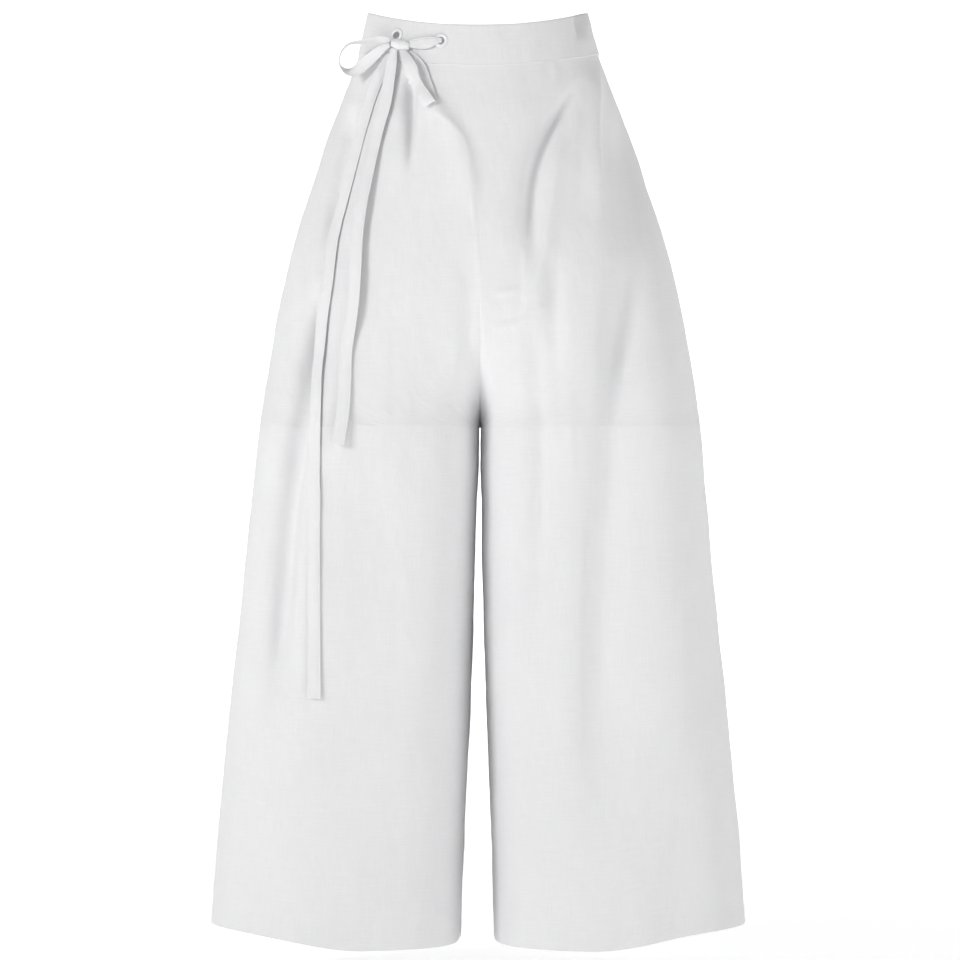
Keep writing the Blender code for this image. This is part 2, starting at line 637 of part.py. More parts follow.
main()
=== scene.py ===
"""Looks for the wrap pants: fine cloth, folds, seams, tape bow, eyelets, light and camera."""

import math

import bmesh
import bpy
import numpy as np
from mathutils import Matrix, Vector


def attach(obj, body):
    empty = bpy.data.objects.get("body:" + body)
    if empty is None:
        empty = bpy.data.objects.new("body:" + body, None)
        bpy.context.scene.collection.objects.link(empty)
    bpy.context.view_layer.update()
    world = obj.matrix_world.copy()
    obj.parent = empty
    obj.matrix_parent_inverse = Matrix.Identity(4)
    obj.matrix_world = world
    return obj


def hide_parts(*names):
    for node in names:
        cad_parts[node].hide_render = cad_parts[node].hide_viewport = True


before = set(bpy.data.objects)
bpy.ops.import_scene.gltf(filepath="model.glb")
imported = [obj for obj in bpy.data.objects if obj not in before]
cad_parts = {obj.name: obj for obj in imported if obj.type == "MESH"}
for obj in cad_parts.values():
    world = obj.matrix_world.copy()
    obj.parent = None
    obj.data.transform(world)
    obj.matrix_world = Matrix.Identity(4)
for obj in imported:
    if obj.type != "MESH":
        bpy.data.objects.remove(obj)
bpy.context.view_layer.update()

# Sizes that the solids share
LENGTH = 1.003
BAND_HEIGHT = 0.045
CROTCH = 0.450
LEGS_PART_FROM = 0.200
CLOSE_ROWS_FROM = 0.345
FRONT_DIP = 0.024
DIP_FADE = 0.30
HEM_LIFT = 0.020
HEM_LIFT_FROM = 0.55
HEM_LIFT_INNER = -0.25
HEM_LIFT_OUTER = 0.85
TIE_WIDTH = 0.0135
EYELET_RADIUS = 0.0080
EYELET_HOLE = 0.0040

# The cloth's own thickness here, the doubled waistband's faces, and how far a panel tucks under it
CLOTH = 0.0009
BAND_OUT = 0.0011
BAND_IN = -0.0017
TUCK = 0.003
TAPE_CLOTH = 0.0010

SECTION_COLUMNS = ("drop", "half_width", "front", "back", "square", "shift", "right_gap", "left_gap")
SECTIONS = (
    (0.000, 0.1185, 0.094, 0.098, 2.00, -0.0026, 0.0, 0.0),
    (0.050, 0.1315, 0.102, 0.107, 2.05, -0.0012, 0.0, 0.0),
    (0.100, 0.1500, 0.111, 0.120, 2.10, -0.0010, 0.0, 0.0),
    (0.150, 0.1695, 0.118, 0.133, 2.15, -0.0012, 0.0, 0.0),
    (0.200, 0.1870, 0.124, 0.143, 2.25, -0.0008, 0.0, 0.0),
    (0.250, 0.2020, 0.129, 0.149, 2.35, -0.0004, 0.0, 0.0),
    (0.300, 0.2140, 0.132, 0.153, 2.45, 0.0000, 0.0, 0.0),
    (0.370, 0.2270, 0.134, 0.153, 2.60, 0.0004, 0.0, 0.0),
    (0.450, 0.2380, 0.135, 0.151, 2.75, 0.0000, 0.0, 0.0),
    (0.520, 0.2450, 0.135, 0.148, 2.80, -0.0006, 0.0016, 0.0011),
    (0.600, 0.2525, 0.135, 0.145, 2.80, -0.0012, 0.0038, 0.0024),
    (0.700, 0.2625, 0.134, 0.142, 2.75, -0.0016, 0.0066, 0.0062),
    (0.800, 0.2720, 0.133, 0.140, 2.70, -0.0018, 0.0108, 0.0106),
    (0.900, 0.2810, 0.132, 0.139, 2.65, -0.0018, 0.0155, 0.0140),
    (1.003, 0.2895, 0.131, 0.138, 2.60, -0.0018, 0.0196, 0.0176),
)

# The large folds, as on the solids
FOLD_COLUMNS = (
    "face", "across_top", "drop_top", "across_mid", "drop_mid", "across_low", "drop_low",
    "right_width", "left_width", "fade_top", "fade_low", "depth",
)
FOLDS = (
    ("front", -0.134, 0.095, -0.151, 0.170, -0.166, 0.270, 0.010, 0.012, 0.04, 0.06, -0.006),
    ("front", -0.168, 0.290, -0.203, 0.500, -0.224, 0.790, 0.016, 0.024, 0.10, 0.16, -0.015),
    ("front", -0.172, 0.340, -0.183, 0.500, -0.200, 0.760, 0.018, 0.024, 0.10, 0.16, 0.005),
    ("front", -0.075, 0.052, -0.075, 0.110, -0.075, 0.190, 0.007, 0.007, 0.03, 0.08, -0.011),
    ("front", -0.056, 0.075, -0.023, 0.135, -0.006, 0.240, 0.018, 0.010, 0.03, 0.07, 0.006),
    ("front", -0.011, 0.240, -0.010, 0.350, -0.008, 0.480, 0.014, 0.010, 0.06, 0.08, -0.004),
    ("front", -0.110, 0.420, -0.100, 0.640, -0.098, 1.100, 0.050, 0.050, 0.16, 0.10, -0.005),
    ("front", 0.106, 0.065, 0.067, 0.145, 0.054, 0.300, 0.016, 0.010, 0.05, 0.09, -0.010),
    ("front", 0.090, 0.120, 0.069, 0.240, 0.046, 0.350, 0.010, 0.014, 0.05, 0.06, 0.005),
    ("front", 0.080, 0.260, 0.079, 0.335, 0.080, 0.440, 0.012, 0.009, 0.05, 0.07, -0.006),
    ("front", 0.125, 0.040, 0.125, 0.130, 0.127, 0.240, 0.016, 0.006, 0.05, 0.08, 0.006),
    ("front", 0.145, 0.080, 0.164, 0.240, 0.146, 0.460, 0.022, 0.016, 0.08, 0.16, -0.009),
    ("front", 0.162, 0.260, 0.140, 0.460, 0.122, 0.940, 0.026, 0.030, 0.12, 0.28, -0.014),
    ("front", 0.059, 0.320, 0.060, 0.460, 0.056, 0.730, 0.022, 0.020, 0.08, 0.22, -0.008),
    ("front", 0.208, 0.760, 0.212, 0.900, 0.218, 1.100, 0.034, 0.030, 0.14, 0.05, -0.006),
    ("back", -0.060, 0.045, -0.085, 0.200, -0.098, 0.420, 0.020, 0.020, 0.03, 0.18, -0.007),
    ("back", -0.118, 0.055, -0.150, 0.300, -0.160, 0.760, 0.022, 0.026, 0.06, 0.26, -0.010),
    ("back", 0.070, 0.045, 0.092, 0.210, 0.105, 0.460, 0.020, 0.022, 0.03, 0.18, -0.007),
    ("back", 0.126, 0.060, 0.162, 0.330, 0.170, 0.840, 0.024, 0.026, 0.06, 0.28, -0.011),
    ("back", -0.060, 0.470, -0.075, 0.700, -0.088, 1.100, 0.026, 0.026, 0.16, 0.10, -0.008),
    ("back", 0.058, 0.440, 0.080, 0.640, 0.100, 1.100, 0.028, 0.026, 0.16, 0.10, -0.008),
    ("back", -0.215, 0.600, -0.220, 0.800, -0.225, 1.100, 0.028, 0.030, 0.20, 0.08, -0.007),
    ("right side", -0.012, 0.120, -0.004, 0.320, 0.008, 0.700, 0.030, 0.030, 0.10, 0.30, -0.004),
    ("left side", 0.010, 0.140, 0.004, 0.360, -0.010, 0.800, 0.030, 0.032, 0.10, 0.30, -0.004),
)

# Fine creases that only show in the cloth, in the same columns
CREASES = (
    ("front", -0.168, 0.290, -0.203, 0.500, -0.224, 0.790, 0.0080, 0.0140, 0.10, 0.16, -0.0060),
    ("front", -0.134, 0.095, -0.151, 0.170, -0.166, 0.270, 0.0060, 0.0070, 0.04, 0.06, -0.0030),
    ("front", -0.075, 0.052, -0.075, 0.110, -0.075, 0.190, 0.0040, 0.0040, 0.03, 0.08, -0.0030),
    ("front", 0.106, 0.065, 0.067, 0.145, 0.054, 0.300, 0.0080, 0.0060, 0.05, 0.09, -0.0045),
    ("front", 0.162, 0.260, 0.140, 0.460, 0.122, 0.940, 0.0120, 0.0140, 0.12, 0.28, -0.0050),
    ("front", 0.059, 0.320, 0.060, 0.460, 0.056, 0.730, 0.0100, 0.0100, 0.08, 0.22, -0.0030),
    ("front", -0.058, 0.092, -0.026, 0.120, -0.008, 0.200, 0.0030, 0.0050, 0.02, 0.05, 0.0012),
    ("front", -0.010, 0.190, -0.001, 0.290, 0.011, 0.420, 0.0014, 0.0030, 0.03, 0.05, 0.0009),
    ("front", -0.072, 0.150, -0.084, 0.185, -0.100, 0.235, 0.0060, 0.0080, 0.03, 0.04, -0.0014),
    ("front", -0.160, 0.180, -0.176, 0.240, -0.186, 0.330, 0.0040, 0.0060, 0.04, 0.06, -0.0012),
    ("front", -0.172, 0.300, -0.189, 0.420, -0.208, 0.560, 0.0035, 0.0060, 0.05, 0.10, -0.0030),
    ("front", -0.116, 0.330, -0.126, 0.400, -0.130, 0.520, 0.0080, 0.0100, 0.05, 0.08, -0.0012),
    ("front", -0.060, 0.300, -0.064, 0.420, -0.062, 0.620, 0.0160, 0.0180, 0.08, 0.14, -0.0016),
    ("front", 0.0455, 0.250, 0.048, 0.300, 0.045, 0.350, 0.0030, 0.0060, 0.03, 0.03, 0.0016),
    ("front", 0.084, 0.100, 0.066, 0.130, 0.052, 0.170, 0.0050, 0.0030, 0.02, 0.04, -0.0014),
    ("front", 0.104, 0.090, 0.100, 0.150, 0.096, 0.230, 0.0070, 0.0060, 0.03, 0.06, 0.0012),
    ("front", 0.143, 0.110, 0.166, 0.190, 0.184, 0.280, 0.0050, 0.0050, 0.04, 0.06, -0.0012),
    ("front", 0.092, 0.380, 0.095, 0.440, 0.092, 0.540, 0.0070, 0.0060, 0.05, 0.07, 0.0016),
    ("front", 0.118, 0.500, 0.114, 0.640, 0.110, 0.860, 0.0060, 0.0080, 0.08, 0.16, -0.0018),
    ("front", 0.016, 0.345, 0.014, 0.420, 0.013, 0.560, 0.0060, 0.0080, 0.05, 0.08, 0.0012),
    ("front", 0.152, 0.430, 0.158, 0.520, 0.160, 0.660, 0.0060, 0.0100, 0.06, 0.10, 0.0012),
    ("front", -0.052, 0.958, -0.038, 0.972, -0.026, 1.010, 0.0040, 0.0060, 0.01, 0.01, 0.0016),
    ("front", 0.086, 0.960, 0.078, 0.978, 0.070, 1.010, 0.0040, 0.0040, 0.01, 0.01, -0.0012),
    ("back", -0.030, 0.060, -0.040, 0.150, -0.044, 0.260, 0.0080, 0.0100, 0.03, 0.10, -0.0018),
    ("back", 0.034, 0.060, 0.046, 0.170, 0.052, 0.300, 0.0080, 0.0100, 0.03, 0.12, -0.0018),
    ("back", -0.100, 0.300, -0.112, 0.440, -0.118, 0.640, 0.0100, 0.0120, 0.08, 0.16, -0.0020),
    ("back", 0.120, 0.340, 0.128, 0.480, 0.132, 0.700, 0.0100, 0.0120, 0.08, 0.18, -0.0020),
    ("back", -0.190, 0.420, -0.200, 0.560, -0.206, 0.760, 0.0080, 0.0120, 0.10, 0.16, 0.0016),
    ("back", 0.196, 0.460, 0.206, 0.600, 0.212, 0.820, 0.0080, 0.0120, 0.10, 0.16, 0.0016),
)

# Short lines that run across: the end of the front opening, as start and end in x and drop
CROSS_COLUMNS = ("x_from", "drop_from", "x_to", "drop_to", "width", "depth")
CROSS_CREASES = (
    (0.012, 0.312, 0.046, 0.306, 0.0030, 0.0012),
    (0.011, 0.348, 0.040, 0.342, 0.0040, 0.0014),
    (0.030, 0.352, 0.075, 0.318, 0.0060, 0.0018),
)

SIDE_FADE = 0.30
INSIDE_FADE_FROM = math.radians(-35)
INSIDE_FADE_TO = math.radians(-80)
CORNER_FOLD = {
    "x": 0.106,
    "right_width": 0.004,
    "left_width": 0.011,
    "depth": -0.009,
    "reach": 0.032,
    "seam_fade": 0.12,
}

EYELETS = {"eyelet_inner": (-0.0414, 0.0192), "eyelet_outer": (-0.0886, 0.0182)}
KNOT = {
    "right": -0.0948,
    "left": -0.0754,
    "drop": 0.0287,
    "lift": 0.0046,
    "half_height": 0.0056,
    "half_depth": 0.0035,
}
TAPE_COLUMNS = ("x", "drop", "lift", "twist", "share")
TIE_LEAD = (
    (-0.0407, 0.0188, -0.0004, 0, 0.36),
    (-0.0416, 0.0190, 0.0016, 0, 0.38),
    (-0.0462, 0.0202, 0.0031, 0, 0.60),
    (-0.0530, 0.0224, 0.0042, 0, 0.92),
    (-0.0610, 0.0243, 0.0042, 0, 0.96),
    (-0.0690, 0.0258, 0.0046, 0, 0.80),
    (-0.0748, 0.0266, 0.0052, 0, 0.62),
)
TIE_TAIL_SHORT = (
    (-0.0915, 0.0346, 0.0055, 0, 0.55),
    (-0.0938, 0.0500, 0.0062, 0, 0.85),
    (-0.0975, 0.0737, 0.0056, 0, 1.0),
    (-0.1010, 0.0966, 0.0052, 0, 1.0),
    (-0.1060, 0.1151, 0.0050, 0, 1.0),
    (-0.1120, 0.1407, 0.0050, 0, 1.0),
    (-0.1187, 0.1756, 0.0068, 0, 1.0),
    (-0.1259, 0.2160, 0.0090, 0, 1.0),
    (-0.1299, 0.2523, 0.0090, 0, 1.0),
    (-0.1312, 0.2900, 0.0080, 14, 1.0),
    (-0.1336, 0.3260, 0.0068, 26, 1.0),
    (-0.1377, 0.3514, 0.0052, 10, 1.0),
    (-0.1408, 0.3736, 0.0036, 0, 1.0),
    (-0.1418, 0.4020, 0.0030, 0, 1.0),
    (-0.1438, 0.4356, 0.0044, 0, 1.0),
    (-0.1490, 0.4692, 0.0080, 0, 1.0),
)
TIE_TAIL_LONG = (
    (-0.0968, 0.0400, 0.0014, 0, 0.45),
    (-0.1010, 0.0500, 0.0034, -20, 0.72),
    (-0.1066, 0.0640, 0.0049, -30, 1.0),
    (-0.1132, 0.0809, 0.0046, -26, 1.0),
    (-0.1190, 0.0980, 0.0038, -18, 1.0),
    (-0.1275, 0.1299, 0.0027, -8, 1.0),
    (-0.1362, 0.1665, 0.0022, 0, 1.0),
    (-0.1455, 0.2065, 0.0024, 0, 1.0),
    (-0.1559, 0.2504, 0.0024, 0, 1.0),
    (-0.1612, 0.2944, 0.0022, 0, 1.0),
    (-0.1668, 0.3339, 0.0024, 0, 1.0),
    (-0.1696, 0.3679, 0.0024, 0, 1.0),
    (-0.1720, 0.4018, 0.0022, 0, 1.0),
    (-0.1744, 0.4860, 0.0018, 0, 1.0),
    (-0.1742, 0.5280, 0.0026, 0, 1.0),
    (-0.1746, 0.5700, 0.0018, 0, 1.0),
    (-0.1743, 0.6754, 0.0018, 0, 1.0),
    (-0.1738, 0.7397, 0.0032, 0, 1.0),
)
TIE_LOOP_FRONT = (
    (-0.0826, 0.0350, 0.0070, 0, 0.55),
    (-0.0785, 0.0440, 0.0108, 0, 0.85),
    (-0.0733, 0.0540, 0.0128, 0, 1.0),
    (-0.0690, 0.0668, 0.0128, 0, 1.0),
    (-0.0625, 0.0817, 0.0112, 0, 1.0),
    (-0.0560, 0.0930, 0.0090, 0, 1.0),
    (-0.0528, 0.0962, 0.0064, 0, 1.0),
    (-0.0520, 0.0920, 0.0040, 0, 1.0),
    (-0.0542, 0.0800, 0.0032, 0, 1.0),
    (-0.0588, 0.0655, 0.0032, 0, 1.0),
    (-0.0645, 0.0500, 0.0034, 0, 1.0),
    (-0.0712, 0.0405, 0.0036, 0, 0.80),
    (-0.0768, 0.0352, 0.0032, 0, 0.50),
)
LOOP_FRONT_ACROSS = (0.91, -0.42)
LEAD_ACROSS = (0.0, 1.0)
LOOP_COLUMNS = ("x", "y", "z", "tilt", "share")
TIE_LOOP_SIDE = (
    (-0.0964, -0.0726, -0.0378, 60, 0.40),
    (-0.1080, -0.0730, -0.0374, 34, 0.86),
    (-0.1260, -0.0700, -0.0394, 12, 1.0),
    (-0.1390, -0.0650, -0.0410, 4, 1.0),
    (-0.1466, -0.0615, -0.0470, 0, 1.0),
    (-0.1504, -0.0595, -0.0556, 0, 1.0),
    (-0.1494, -0.0590, -0.0642, 8, 1.0),
    (-0.1434, -0.0590, -0.0696, 30, 1.0),
    (-0.1356, -0.0600, -0.0700, 55, 1.0),
    (-0.1270, -0.0625, -0.0652, 72, 1.0),
    (-0.1160, -0.0668, -0.0560, 80, 0.92),
    (-0.1045, -0.0708, -0.0472, 80, 0.66),
    (-0.0965, -0.0732, -0.0430, 80, 0.36),
)

# The tape's section, from one edge to the other: place across and how far its face is pressed in
TAPE_ACROSS = (-1.0, -0.97, -0.90, -0.80, -0.765, -0.73, -0.40, 0.0, 0.40, 0.73, 0.765, 0.80, 0.90, 0.97, 1.0)
TAPE_PRESS = (0.70, 0.30, 0.0, 0.05, 0.34, 0.05, 0.0, 0.0, 0.0, 0.05, 0.34, 0.05, 0.0, 0.30, 0.70)

RIGHT, LEFT = -1, 1
FRONT, BACK = -1, 1
STEP = 1e-4

# Grid steps of the fine cloth
FRONT_COLUMNS = 150
BACK_COLUMNS = 110
RISE_ROWS = 100
CLOSE_ROWS = 50
LEG_ROWS = 165
BAND_STEPS = 150
EYELET_STEPS = 56


def column(table, names, name):
    place = names.index(name)
    return np.array([row[place] for row in table])


def smooth(at, known, values):
    """A cubic curve through a table's values, level past its ends."""
    at = np.clip(at, known[0], known[-1])
    slope = np.gradient(values, known)
    i = np.clip(np.searchsorted(known, at) - 1, 0, len(known) - 2)
    wide = known[i + 1] - known[i]
    t = (at - known[i]) / wide
    low = values[i] * (1 + 2 * t) * (1 - t) ** 2 + slope[i] * wide * t * (1 - t) ** 2
    high = values[i + 1] * t * t * (3 - 2 * t) + slope[i + 1] * wide * t * t * (t - 1)
    return low + high


def ease(value, low, high):
    t = np.clip((value - low) / (high - low), 0, 1)
    return t * t * (3 - 2 * t)


def section(name, drop):
    return smooth(drop, column(SECTIONS, SECTION_COLUMNS, "drop"), column(SECTIONS, SECTION_COLUMNS, name))


def ring_angle(across, square):
    return np.arctan2(across, (1 - np.abs(across) ** square) ** (1 / square))


def leg_ring(leg, drop):
    inner = section("right_gap" if leg == RIGHT else "left_gap", drop)
    outer = section("half_width", drop)
    square = section("square", drop)
    radius = (outer - inner) * (1 - 0.5 * ease(drop, LEGS_PART_FROM, CROTCH))
    centre = outer - radius
    cut = np.clip((centre - inner) / radius, 0, 1)
    return centre, radius, square, ring_angle(cut, square)


def plain_point(leg, face, along, drop):
    """The smooth form. along runs from 0 at the middle or inseam to 1 at the side seam."""
    centre, radius, square, turn = leg_ring(leg, drop)
    angle = (math.pi / 2 + turn) * along - turn
    sin, cos = np.sin(angle), np.clip(np.cos(angle), 0, 1)
    full = (np.abs(sin) ** square + cos**square) ** (-1 / square)
    depth = section("front" if face == FRONT else "back", drop) * cos * full
    dip = FRONT_DIP * (face == FRONT) * cos**1.5 * (1 - ease(drop, 0, DIP_FADE))
    rise = ease(sin, HEM_LIFT_INNER, HEM_LIFT_OUTER)
    lift = HEM_LIFT * rise * ease(drop, HEM_LIFT_FROM, LENGTH)
    x = section("shift", drop) + leg * (centre + radius * sin * full)
    return np.stack([x, face * depth, lift - drop - dip], axis=-1), angle


def surface_normal(point_at, leg, face, along, drop):
    low, high = np.clip(along - STEP, 0, 1), np.clip(along + STEP, 0, 1)
    across = point_at(leg, face, high, drop) - point_at(leg, face, low, drop)
    down = point_at(leg, face, along, drop + STEP) - point_at(leg, face, along, drop - STEP)
    normal = np.cross(across, down) * leg * face
    return normal / np.maximum(np.linalg.norm(normal, axis=-1, keepdims=True), 1e-12)


def plain(leg, face, along, drop):
    return plain_point(leg, face, along, drop)[0]


def fold_height(table, leg, face, point, drop, angle):
    """How far a table's folds move each point outward."""
    total = np.zeros(np.shape(drop))
    near_side = ease(np.cos(angle), 0, SIDE_FADE)
    inner_side = ease(angle, INSIDE_FADE_TO, INSIDE_FADE_FROM)
    for row in table:
        fold = dict(zip(FOLD_COLUMNS, row))
        on_side = fold["face"] == ("right side" if leg == RIGHT else "left side")
        if not on_side and fold["face"] != ("front" if face == FRONT else "back"):
            continue
        drops = np.array([fold["drop_top"], fold["drop_mid"], fold["drop_low"]])
        path = np.array([fold["across_top"], fold["across_mid"], fold["across_low"]])
        middle = smooth(drop, drops, path)
        away = point[..., 1 if on_side else 0] - middle
        width = np.where(away < 0, fold["right_width"], fold["left_width"])
        along = ease(drop, drops[0], drops[0] + fold["fade_top"])
        along = along * (1 - ease(drop, drops[2] - fold["fade_low"], drops[2]))
        reach = 1 - near_side if on_side else near_side * inner_side
        total = total + fold["depth"] * along * reach * np.exp(-((away / width) ** 2))
    return total


def cloth(leg, face, along, drop):
    """The form of the solids, with their folds."""
    point, angle = plain_point(leg, face, along, drop)
    outward = surface_normal(plain, leg, face, along, drop)
    outward[..., 0] = np.where((along <= 0) & (drop <= CROTCH), 0, outward[..., 0])
    return point + outward * fold_height(FOLDS, leg, face, point, drop, angle)[..., None]


def lumps(u, v, size_u, size_v, seed):
    """Smooth noise between -1 and 1 on a lattice of the given sizes."""
    lattice = np.random.default_rng(seed).uniform(-1, 1, (64, 64))
    a, b = u / size_u, v / size_v
    i, j = np.floor(a).astype(int), np.floor(b).astype(int)
    s, t = a - i, b - j
    s, t = s * s * (3 - 2 * s), t * t * (3 - 2 * t)

    def corner(di, dj):
        return lattice[(i + di) % 64, (j + dj) % 64]

    low = corner(0, 0) * (1 - s) + corner(1, 0) * s
    high = corner(0, 1) * (1 - s) + corner(1, 1) * s
    return low * (1 - t) + high * t


def fine_height(leg, face, point, drop, along, angle):
    """The fine creases, the seams' grooves, the puckers under the waistband and the cloth's slight unevenness."""
    total = fold_height(CREASES, leg, face, point, drop, angle)
    x, seed = point[..., 0], 3 + face
    if face == FRONT:
        for row in CROSS_CREASES:
            line = dict(zip(CROSS_COLUMNS, row))
            share = (x - line["x_from"]) / (line["x_to"] - line["x_from"])
            middle = line["drop_from"] + (line["drop_to"] - line["drop_from"]) * share
            reach = ease(share, 0.0, 0.25) * (1 - ease(share, 0.75, 1.0))
            total = total + line["depth"] * reach * np.exp(-(((drop - middle) / line["width"]) ** 2))
    round_x = x + 0.3 * np.clip(np.abs(x) - 0.1, 0, 1) * point[..., 1] * leg
    calm = ease(drop, 0.045, 0.12)
    total = total + 0.0011 * calm * lumps(round_x + 3, drop, 0.034, 0.150, seed)
    total = total + 0.0005 * calm * lumps(round_x + 3, drop + 0.3 * x, 0.013, 0.045, seed + 10)
    total = total + 0.00022 * lumps(round_x + 3, drop - 0.4 * x, 0.006, 0.012, seed + 20)
    puckers = (1 - ease(drop, 0.046, 0.085)) * lumps(round_x + 3, drop, 0.010, 0.060, seed + 30)
    total = total + 0.0007 * puckers * ease(drop, 0.040, 0.052)
    hem_away = LENGTH - 0.022 - drop
    total = total - 0.00030 * np.exp(-((hem_away / 0.0022) ** 2))
    total = total + 0.00035 * lumps(round_x + 3, drop, 0.009, 0.050, seed + 40) * ease(drop, LENGTH - 0.05, LENGTH - 0.02)
    side_away = (1 - along) * 0.2
    total = total - 0.0008 * np.exp(-((side_away / 0.0016) ** 2))
    inner_away = along * 0.2
    sewn = (drop > CROTCH) | (face == BACK)
    return total - 0.0006 * sewn * np.exp(-((inner_away / 0.0014) ** 2))


def seamed_normal(leg, face, along, drop):
    """Outward normals that neighbouring panels share along their seams."""
    outward = surface_normal(cloth, leg, face, along, drop)
    other = surface_normal(cloth, -leg, face, along, drop)
    middle = ((along <= 0) & (drop <= CROTCH))[..., None]
    outward = unit(np.where(middle, outward + other, outward))
    outward[..., 1] = np.where((along >= 1) | ((along <= 0) & (drop > CROTCH)), 0, outward[..., 1])
    return unit(outward)


def dressed(leg, face, along, drop):
    """The fine cloth's outer face."""
    point, angle = plain_point(leg, face, along, drop)
    outward = seamed_normal(leg, face, along, drop)
    return cloth(leg, face, along, drop) + outward * fine_height(leg, face, point, drop, along, angle)[..., None]


def along_at(leg, x, drop):
    centre, radius, square, turn = leg_ring(leg, drop)
    across = np.clip(((x - section("shift", drop)) * leg - centre) / radius, -1, 1)
    return (ring_angle(across, square) + turn) / (math.pi / 2 + turn)


def front_place(x, drop):
    along = along_at(RIGHT, x, drop)
    return cloth(RIGHT, FRONT, along, drop), surface_normal(cloth, RIGHT, FRONT, along, drop)


def front_lifted(x, drop, lift):
    """Points at a height over the front that are seen at x from the front."""
    at = x
    for _ in range(4):
        point, outward = front_place(at, drop)
        raised = point + outward * lift[..., None]
        at = at + x - raised[..., 0]
    return raised


def front_behind(points):
    drop = -points[..., 2]
    for _ in range(6):
        found, outward = front_place(points[..., 0], drop)
        drop = drop + found[..., 2] - points[..., 2]
    return found, outward


def unit(vectors):
    return vectors / np.maximum(np.linalg.norm(vectors, axis=-1, keepdims=True), 1e-12)


def make_mesh(name, points, faces, material, uv=None):
    """A smooth object from points, four-sided faces and a place in the cloth for each point, in metres."""
    mesh = bpy.data.meshes.new(name)
    faces = np.asarray(faces)
    mesh.vertices.add(len(points))
    mesh.vertices.foreach_set("co", np.asarray(points, np.float32).ravel())
    mesh.loops.add(faces.size)
    mesh.loops.foreach_set("vertex_index", faces.ravel().astype(np.int32))
    mesh.polygons.add(len(faces))
    mesh.polygons.foreach_set("loop_start", np.arange(len(faces), dtype=np.int32) * faces.shape[1])
    mesh.update(calc_edges=True)
    mesh.validate()
    if uv is not None:
        layer = mesh.uv_layers.new(name="cloth")
        layer.data.foreach_set("uv", np.asarray(uv, np.float32)[faces.ravel()].ravel())
    bm = bmesh.new()
    bm.from_mesh(mesh)
    bmesh.ops.recalc_face_normals(bm, faces=bm.faces[:])
    bm.to_mesh(mesh)
    bm.free()
    mesh.materials.append(material)
    mesh.shade_smooth()
    mesh.set_sharp_from_angle(angle=math.radians(50))
    piece = bpy.data.objects.new(name, mesh)
    bpy.context.collection.objects.link(piece)
    return piece


def grid_faces(rows, columns, start=0, wrap_rows=False, wrap_columns=False):
    i, j = np.meshgrid(
        np.arange(rows if wrap_rows else rows - 1), np.arange(columns if wrap_columns else columns - 1), indexing="ij"
    )
    i2, j2 = (i + 1) % rows, (j + 1) % columns
    corners = [i * columns + j, i * columns + j2, i2 * columns + j2, i2 * columns + j]
    return np.stack(corners, axis=-1).reshape(-1, 4) + start


def shell(name, outer, inner, uv, material):
    """A closed sheet between two grids of points."""
    rows, columns = outer.shape[:2]
    count = rows * columns
    faces = [grid_faces(rows, columns), grid_faces(rows, columns, count)]
    index = np.arange(count).reshape(rows, columns)
    for rim in (index[0], index[-1], index[:, 0], index[:, -1]):
        faces.append(np.stack([rim[:-1], rim[1:], rim[1:] + count, rim[:-1] + count], axis=-1))
    points = np.concatenate([outer.reshape(-1, 3), inner.reshape(-1, 3)])
    uv = np.concatenate([uv.reshape(-1, 2), uv.reshape(-1, 2)])
    return make_mesh(name, points, np.concatenate(faces), material, uv)


def tube(name, rings, uv, material, closed=False):
    """A closed surface through rings of points, with filled ends or closed on itself."""
    rings = np.asarray(rings)
    rows, columns = rings.shape[:2]
    faces = [grid_faces(rows, columns, 0, closed, True)]
    points = rings.reshape(-1, 3)
    uv = np.asarray(uv).reshape(-1, 2)
    if not closed:
        index = np.arange(rows * columns).reshape(rows, columns)
        for ring in (index[0], index[-1]):
            middle = len(points)
            points = np.concatenate([points, points[ring].mean(axis=0, keepdims=True)])
            uv = np.concatenate([uv, uv[ring].mean(axis=0, keepdims=True)])
            around = np.roll(ring, -1)
            half = np.stack([ring[::2], around[::2], np.roll(around, -1)[::2], np.full(len(ring[::2]), middle)], axis=-1)
            faces.append(half)
    return make_mesh(name, points, np.concatenate(faces), material, uv)


def panel_drops():
    top = BAND_HEIGHT - TUCK
    rise = np.linspace(top, CLOSE_ROWS_FROM, RISE_ROWS + 1)[:-1]
    round_to_crotch = np.sin(np.linspace(0, math.pi / 2, CLOSE_ROWS + 1))
    close = CLOSE_ROWS_FROM + (CROTCH - CLOSE_ROWS_FROM) * round_to_crotch
    leg = np.linspace(CROTCH, LENGTH, LEG_ROWS + 1)[1:]
    return np.concatenate([rise, close, leg])


